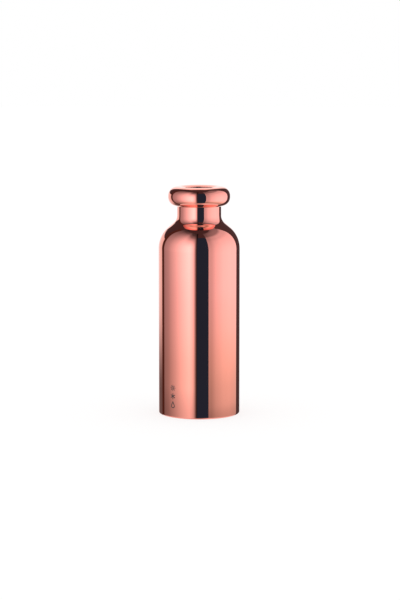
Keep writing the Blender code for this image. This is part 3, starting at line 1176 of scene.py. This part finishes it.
@dataclass
class Mark:
    """A column of three plain pictograms etched low on the wall: a drop, a snow star and a sun.

    Each is drawn in strokes on the flat, in millimetres across and up, and laid round the wall.
    """

    form: OuterForm
    turn: float = math.radians(-40.0)
    foot: float = 9.5
    pitch: float = 7.6
    size: float = 2.8
    stroke: float = 0.84
    lift: float = 0.012
    depth: float = 0.03
    rays: int = 8

    def _laid(self, across: np.ndarray, up: np.ndarray, radius: float) -> np.ndarray:
        """Points on the wall at a radius: the distance across becomes an angle round the axis."""
        angle = self.turn + across / self.form.radius
        return np.stack([radius * np.sin(angle), -radius * np.cos(angle), up], axis=-1)

    def _stroke(self, path: np.ndarray, closed: bool) -> tuple[np.ndarray, np.ndarray]:
        """A flat strip of the stroke's width carried along a path.

        At each point of the path the strip's section is a thin rectangle: left and right of the path by half
        the stroke, on the wall's surface and just under it.

        Args:
            path: points across and up, one row each.
            closed: whether the path returns to its start.

        Returns:
            The strip's points and its faces.
        """
        before, after = np.roll(path, 1, axis=0), np.roll(path, -1, axis=0)
        if not closed:
            before[0], after[-1] = path[0], path[-1]
        ahead = after - before
        ahead /= np.linalg.norm(ahead, axis=1)[:, None]
        side = np.stack([-ahead[:, 1], ahead[:, 0]], axis=1) * self.stroke / 2.0
        outer, inner = self.form.radius + self.lift, self.form.radius - self.depth
        rims = [(path + side, outer), (path + side, inner), (path - side, inner), (path - side, outer)]
        rows = np.stack([self._laid(edge[:, 0], edge[:, 1], radius) for edge, radius in rims], axis=1)
        count = len(path)
        index = np.arange(count * 4).reshape(count, 4)
        following = np.roll(index, -1, axis=0) if closed else index[1:]
        here = index if closed else index[:-1]
        quads = np.stack([here, np.roll(here, -1, axis=1), np.roll(following, -1, axis=1), following], axis=2)
        faces = quads.reshape(-1, 4)
        if not closed:
            faces = np.concatenate([faces, index[:1, ::-1], index[-1:]])
        return rows.reshape(-1, 3), faces

    def _drop(self, up: float) -> list[tuple[np.ndarray, bool]]:
        """A drop, (sin t sin(t / 2)^2, -cos t): pointed on top and round below."""
        t = np.linspace(0.0, math.tau, 48, endpoint=False)
        across = 0.95 * self.size * np.sin(t) * np.sin(t / 2.0) ** 2
        path = np.stack([across, up + self.size * np.cos(t)], axis=1)
        return [(path, True)]

    def _star(self, up: float) -> list[tuple[np.ndarray, bool]]:
        """Three bars through one point."""
        strokes = []
        for turn in np.radians([90.0, 150.0, 210.0]):
            way = np.array([math.cos(turn), math.sin(turn)])
            share = np.linspace(-1.0, 1.0, 9)[:, None]
            strokes.append((np.array([0.0, up]) + share * way * self.size, False))
        return strokes

    def _sun(self, up: float) -> list[tuple[np.ndarray, bool]]:
        """A circle with rays round it."""
        t = np.linspace(0.0, math.tau, 32, endpoint=False)
        middle = np.array([0.0, up])
        disc = middle + 0.42 * self.size * np.stack([np.cos(t), np.sin(t)], axis=1)
        strokes = [(disc, True)]
        for turn in np.linspace(0.0, math.tau, self.rays, endpoint=False):
            way = np.array([math.cos(turn), math.sin(turn)]) * self.size
            strokes.append((middle + np.linspace(0.72, 1.0, 3)[:, None] * way, False))
        return strokes

    def build(self) -> list[Piece]:
        """The three pictograms as one piece."""
        points, faces, count = [], [], 0
        for number, draw in enumerate((self._drop, self._star, self._sun)):
            for path, closed in draw(self.foot + self.size + number * self.pitch):
                rows, quads = self._stroke(path, closed)
                points.append(rows)
                faces.append(quads + count)
                count += len(rows)
        mesh = bpy.data.meshes.new("etched_mark")
        mesh.from_pydata(np.concatenate(points) * MM, [], np.concatenate(faces).tolist())
        return [Piece("etched_mark", mesh, EtchedMark(), Body.BOTTLE, "copper_mirror")]


# ---------------------------------------------------------------- studio

@dataclass
class Card:
    """A tall curved light card beside the bottle, seen only in its reflections.

    Its glow is a product of two outlines, one over the angle round the bottle in degrees and one over the
    height, each given as (place, value) pairs with straight lines between them. Its light turns from the
    lower colour to the upper one just over the floor. With a fan, the outline over the height is drawn out
    upwards from one of the fan's angles to the other, so that the light reaches higher there.
    """

    name: str
    across: Outline
    up: Outline
    edges: tuple[float, float]
    upper: Colour = WHITE
    lower: Colour = WHITE
    distance: float = 0.3
    fan: Optional[tuple[float, float]] = None
    fan_foot: float = 0.2
    fan_share: float = 0.45
    blend: tuple[float, float] = (-0.02, 0.09)
    columns: int = 48

    def build(self) -> bpy.types.Object:
        """Make the card: (d sin a, -d cos a, h) for each angle a and height h.

        Returns:
            The card's object.
        """
        angle = np.radians(np.linspace(self.across[0][0], self.across[-1][0], self.columns + 1))
        height = np.array([self.up[0][0], self.up[-1][0]])
        a, h = np.meshgrid(angle, height, indexing="ij")
        points = np.stack([self.distance * np.sin(a), -self.distance * np.cos(a), h], axis=2).reshape(-1, 3)
        index = np.arange(points.shape[0]).reshape(a.shape)
        faces = np.stack([index[:-1, :-1], index[1:, :-1], index[1:, 1:], index[:-1, 1:]], axis=2)
        mesh = bpy.data.meshes.new(self.name)
        mesh.from_pydata(points, [], faces.reshape(-1, 4).tolist())
        return only_reflected(self.name, mesh, self._light())

    def _light(self) -> bpy.types.Material:
        """The card's glow as an emission."""
        graph, material = new_graph(self.name)
        turn, _, height = graph.round_place()
        degrees = turn * (180.0 / math.pi)
        start, stop = self.across[0][0], self.across[-1][0]
        if stop > 180.0:
            degrees = degrees + 360.0 * degrees.step(0.01, 0.0)
        reach = height
        if self.fan is not None:
            reach = height - (height - self.fan_foot).above(0.0) * degrees.step(*self.fan) * self.fan_share
        glow = graph.outline(degrees, self.across) * graph.outline(reach, self.up)
        glow = glow * degrees.step(start, start + self.edges[0]) * degrees.step(stop, stop - self.edges[1])
        graph.lamp(graph.mix(height.step(*self.blend), self.lower, self.upper), glow)
        return material


@dataclass
class Table:
    """Light from below, as from a lit table: a disc under the floor that only steep reflections meet."""

    radius: float = 0.43
    depth: float = 0.15
    side: float = 0.95
    front: float = 0.5
    reach: float = math.radians(34.0)

    def build(self) -> bpy.types.Object:
        """Make the disc, (r cos t, r sin t) at one height.

        Returns:
            The disc's object.
        """
        t = np.linspace(0.0, math.tau, AROUND_TINY, endpoint=False)
        flat = np.full_like(t, -self.depth)
        points = np.stack([self.radius * np.cos(t), self.radius * np.sin(t), flat], axis=1)
        mesh = bpy.data.meshes.new("table")
        mesh.from_pydata(points, [], [list(range(len(t)))])
        graph, material = new_graph("table")
        turn, _, _ = graph.round_place()
        front = abs(turn).step(self.reach, 0.2 * self.reach)
        graph.lamp(WHITE, self.side - (self.side - self.front) * front)
        return only_reflected("table", mesh, material)


def only_reflected(name: str, mesh: bpy.types.Mesh, material: bpy.types.Material) -> bpy.types.Object:
    """Stage a mesh that nothing but mirror reflections can see.

    Args:
        name: the object's name.
        mesh: its mesh.
        material: its light.

    Returns:
        The object.
    """
    mesh.materials.append(material)
    item = bpy.data.objects.new(name, mesh)
    bpy.context.scene.collection.objects.link(item)
    for ray in ("camera", "diffuse", "shadow", "transmission", "volume_scatter"):
        setattr(item, f"visible_{ray}", False)
    return item


@dataclass
class Studio:
    """Pale floor, even light, the light cards and the camera."""

    elevation: float = math.radians(7.65)
    distance: float = 2.0
    aim: float = 0.1036
    lens: float = 132.1
    sideways: float = 0.00142
    dim: Colour = (0.06, 0.045, 0.05)
    cold: Colour = (0.017, 0.044, 0.086)
    brown: Colour = (0.078, 0.036, 0.026)
    grey: Colour = (0.072, 0.06, 0.066)
    floor_side: float = 6.0
    floor_tone: float = 0.3
    floor_glow: float = 0.72
    card_foot: float = -0.5

    def camera(self) -> None:
        """Camera a little above the bottle's middle, aimed at its axis."""
        data = bpy.data.cameras.new("camera")
        data.lens = self.lens
        data.sensor_width = 36.0
        data.shift_x = self.sideways
        data.clip_end = 50.0
        camera = bpy.data.objects.new("camera", data)
        bpy.context.scene.collection.objects.link(camera)
        back, rise = math.cos(self.elevation), math.sin(self.elevation)
        camera.location = (0.0, -self.distance * back, self.aim + self.distance * rise)
        camera.rotation_euler = (math.pi / 2.0 - self.elevation, 0.0, 0.0)
        bpy.context.scene.camera = camera

    def world(self) -> None:
        """Even white light, with a dark room for what the metal reflects."""
        world = bpy.data.worlds.new("studio")
        world.use_nodes = True
        graph = Graph(world.node_tree)
        glossy = graph.node("ShaderNodeLightPath", output="Is Glossy Ray")
        colour = graph.mix(glossy, WHITE, self.dim)
        light = graph.node("ShaderNodeBackground", inputs={"Color": colour, "Strength": 1.0})
        graph.node("ShaderNodeOutputWorld", inputs={"Surface": light})
        bpy.context.scene.world = world

    def floor(self) -> None:
        """Wide pale floor, left out of the metal's reflections."""
        side, tone = self.floor_side, self.floor_tone
        mesh = bpy.data.meshes.new("floor")
        corners = [(-side, -side, 0.0), (side, -side, 0.0), (side, side, 0.0), (-side, side, 0.0)]
        mesh.from_pydata(corners, [], [(0, 1, 2, 3)])
        graph, material = new_graph("pale_floor")
        shader = graph.node("ShaderNodeBsdfPrincipled", inputs={
            "Base Color": (tone, tone, tone, 1.0), "Roughness": 0.9, "Specular IOR Level": 0.0,
            "Emission Color": (*WHITE, 1.0), "Emission Strength": self.floor_glow,
        })
        graph.node("ShaderNodeOutputMaterial", inputs={"Surface": shader})
        mesh.materials.append(material)
        floor = bpy.data.objects.new("floor", mesh)
        bpy.context.scene.collection.objects.link(floor)
        floor.visible_glossy = False

    def flag(self, name: str, start: float, stop: float, colour: Colour, top: float = 0.6,
             distance: float = 0.3) -> None:
        """A plain card of one dark colour between two angles."""
        Card(name, [(start, 1.0), (stop, 1.0)], [(self.card_foot, 1.0), (top, 1.0)], (0.1, 0.1), colour,
             colour, distance).build()

    def cards(self) -> None:
        """Softboxes left and right of a dark gap, dark flags beside them, and the lit backdrop behind."""
        cool, warm, foot = (1.0, 1.0, 1.1), (1.0, 1.0, 0.93), self.card_foot
        left_up = [(foot, 0.85), (-0.1, 0.58), (-0.047, 0.55), (-0.034, 0.63), (-0.018, 0.77), (0.005, 0.8),
                   (0.04, 0.9), (0.075, 0.95), (0.105, 1.0), (0.15, 1.06), (0.224, 1.03), (0.272, 0.9),
                   (0.324, 0.7), (0.403, 0.45), (0.52, 0.16), (0.7, 0.05), (1.1, 0.02)]
        right_up = [(foot, 0.75), (-0.1, 0.45), (-0.048, 0.43), (-0.036, 0.6), (-0.018, 0.65), (0.005, 0.77),
                    (0.04, 0.9), (0.075, 0.98), (0.105, 1.0), (0.197, 0.95), (0.292, 0.82), (0.35, 0.75),
                    (0.415, 0.6), (0.51, 0.55), (0.602, 0.24), (0.811, 0.2), (1.1, 0.1)]
        left = [(-112.3, 0.37), (-92.0, 0.53), (-68.0, 0.95), (-44.0, 1.5), (-30.0, 1.78), (-26.0, 1.84),
                (-20.0, 1.62), (-17.0, 1.4), (-14.2, 1.12), (-11.4, 0.6), (-8.5, 0.13), (-5.5, 0.0)]
        right = [(25.0, 0.82), (28.0, 0.74), (34.0, 0.78), (46.0, 1.1), (68.0, 1.38), (90.0, 1.46),
                 (125.2, 1.3)]
        behind = [(158.0, 0.2), (166.0, 1.0), (204.0, 1.0)]
        behind_up = [(-0.3, 0.6), (0.0, 1.0), (0.5, 1.3), (0.7, 1.0), (0.85, 0.0)]
        left_behind = [(204.0, 1.0), (236.0, 0.95)]
        left_behind_up = [(-0.3, 0.12), (-0.025, 0.16), (-0.014, 0.2), (-0.003, 0.28), (0.008, 0.375),
                          (0.03, 0.61), (0.051, 0.83), (0.08, 0.95), (0.106, 1.0), (0.235, 1.0)]
        Card("left_card", left, left_up, (0.6, 0.01), cool, WHITE, fan=(-24.0, -52.0)).build()
        Card("right_card", right, right_up, (0.3, 0.6), cool, warm).build()
        Card("backdrop_card", behind, behind_up, (6.0, 0.5)).build()
        Card("left_behind_card", left_behind, left_behind_up, (0.1, 0.5)).build()
        self.flag("gap_flag", -12.0, 25.0, self.cold, 0.55, 0.305)
        self.flag("left_flag", -124.0, -112.3, self.brown)
        self.flag("right_flag", 125.2, 158.0, self.grey)
        Table().build()

    def build(self) -> None:
        """Everything round the bottle."""
        self.camera()
        self.world()
        self.floor()
        self.cards()
        view = bpy.context.scene.view_settings
        view.view_transform = 'Standard'
        view.look = 'None'


def main() -> None:
    """Build the pieces in order, tie them to their bodies and set the stage."""
    logging.basicConfig(level=logging.INFO, format="%(name)s: %(message)s")
    form = OuterForm()
    outer_thread = Thread()
    inner_thread = Thread(bottom=outer_thread.bottom + outer_thread.lead / outer_thread.starts / 2.0)
    makers = [Shell(form), Liner(form, inner_thread), VacuumSpace(form), RingClosure(), Stopper(outer_thread),
              Mark(form)]
    for maker in makers:
        for piece in maker.build():
            piece.place()
    Studio().build()


if __name__ == "__main__":
    main()
